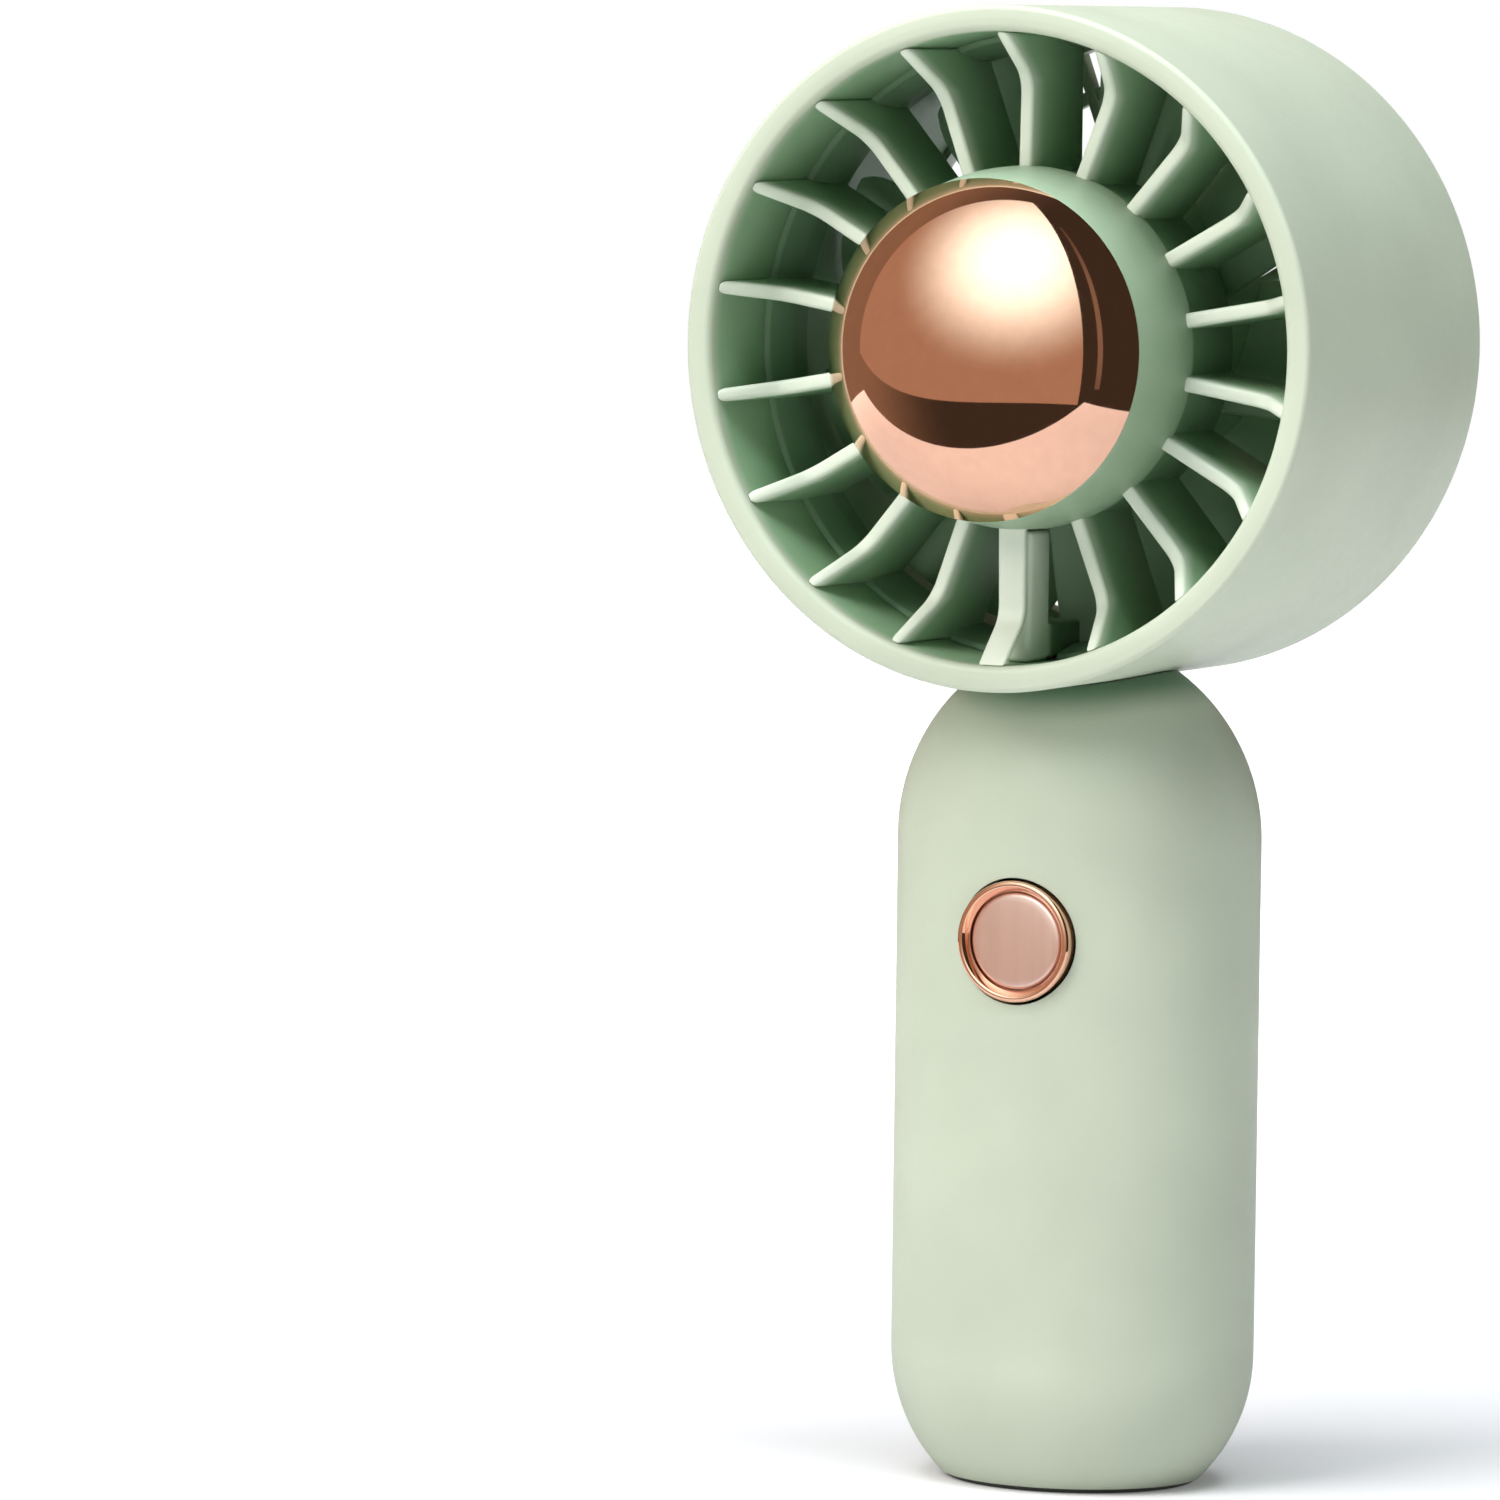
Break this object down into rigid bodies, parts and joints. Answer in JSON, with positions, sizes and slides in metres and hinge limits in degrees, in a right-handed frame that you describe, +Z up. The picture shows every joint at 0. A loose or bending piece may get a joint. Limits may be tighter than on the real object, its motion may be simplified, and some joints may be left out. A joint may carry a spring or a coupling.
{
  "type": "handheld electric fan",
  "caption": "Handheld electric fan: a round drum head with radial vanes and a polished hub dome, on an oval handle with a push button.",
  "frame": {"origin": "centre of the flat underside of the foot that the fan stands on", "axes": "+Z up along the handle; the fan blows towards -Y, the side that has the button; +X is the left side of a person holding it with the air blowing away from them"},
  "size_m": [0.0672, 0.0553, 0.1474],
  "materials": {
    "housing_plastic": "satin pale sage green moulded plastic",
    "grille_plastic": "satin pale sage green moulded plastic",
    "impeller_plastic": "satin deeper sage green moulded plastic",
    "rose_chrome": "polished rose gold plating",
    "rose_satin": "satin brushed rose gold",
    "motor_steel": "zinc-plated drawn steel",
    "core_steel": "laminated iron",
    "screw_steel": "nickel-plated steel",
    "bronze": "sintered bronze and brass",
    "copper": "enamelled copper",
    "ferrite": "dark grey ferrite",
    "inner_plastic": "plain off-white moulded plastic",
    "rubber": "soft black rubber and foam",
    "foot_rubber": "matte sage green rubber",
    "cell_wrap": "blue shrink wrap",
    "nickel": "nickel strip",
    "board": "green solder mask",
    "black_plastic": "black moulded plastic",
    "wire_red": "red wire sleeve",
    "wire_black": "black wire sleeve"
  },
  "bodies": {
    "housing": {"base_foot": "foot_rubber", "battery_cell": "cell_wrap", "battery_cradle": "inner_plastic", "battery_foam_pad": "rubber", "battery_tab_negative": "nickel", "battery_tab_positive": "nickel", "battery_wire_black": "wire_black", "battery_wire_red": "wire_red", "button_bezel": "rose_chrome", "charge_chip": "black_plastic", "control_chip": "black_plastic", "control_pcb": "board", "cover_screw_lower": "screw_steel", "cover_screw_upper": "screw_steel", "front_grille": "grille_plastic", "handle_back_cover": "housing_plastic", "handle_shell": "housing_plastic", "head_drum": "housing_plastic", "head_screw_left": "screw_steel", "head_screw_right": "screw_steel", "hub_cap": "rose_chrome", "motor_brush_left": "bronze", "motor_brush_right": "bronze", "motor_bush_front": "bronze", "motor_bush_rear": "bronze", "motor_can": "motor_steel", "motor_damper_ring": "rubber", "motor_end_cap": "inner_plastic", "motor_magnet_left": "ferrite", "motor_magnet_right": "ferrite", "motor_screw_left": "screw_steel", "motor_screw_right": "screw_steel", "motor_wire_black": "wire_black", "motor_wire_red": "wire_red", "pcb_screw_lower": "screw_steel", "pcb_screw_upper": "screw_steel", "power_inductor": "ferrite", "rear_grille": "grille_plastic", "tact_switch": "black_plastic", "usb_port": "nickel", "usb_tongue": "black_plastic", "wire_conduit": "grille_plastic"},
    "rotor": {"impeller": "impeller_plastic", "impeller_insert": "bronze", "motor_shaft": "motor_steel", "armature_core": "core_steel", "armature_coil_1": "copper", "armature_coil_2": "copper", "armature_coil_3": "copper", "commutator": "copper"},
    "button": {"button_cap": "rose_satin", "switch_stem": "inner_plastic"}
  },
  "joints": [
    {"name": "rotor_spin", "type": "hinge", "parent": "housing", "child": "rotor", "pos_m": [0, 0, 0.1138], "axis": [0, 1, 0], "continuous": true},
    {"name": "button_press", "type": "slide", "parent": "housing", "child": "button", "axis": [0, 1, 0], "range_m": [0, 0.0005], "stiffness_N_per_m": 400}
  ]
}
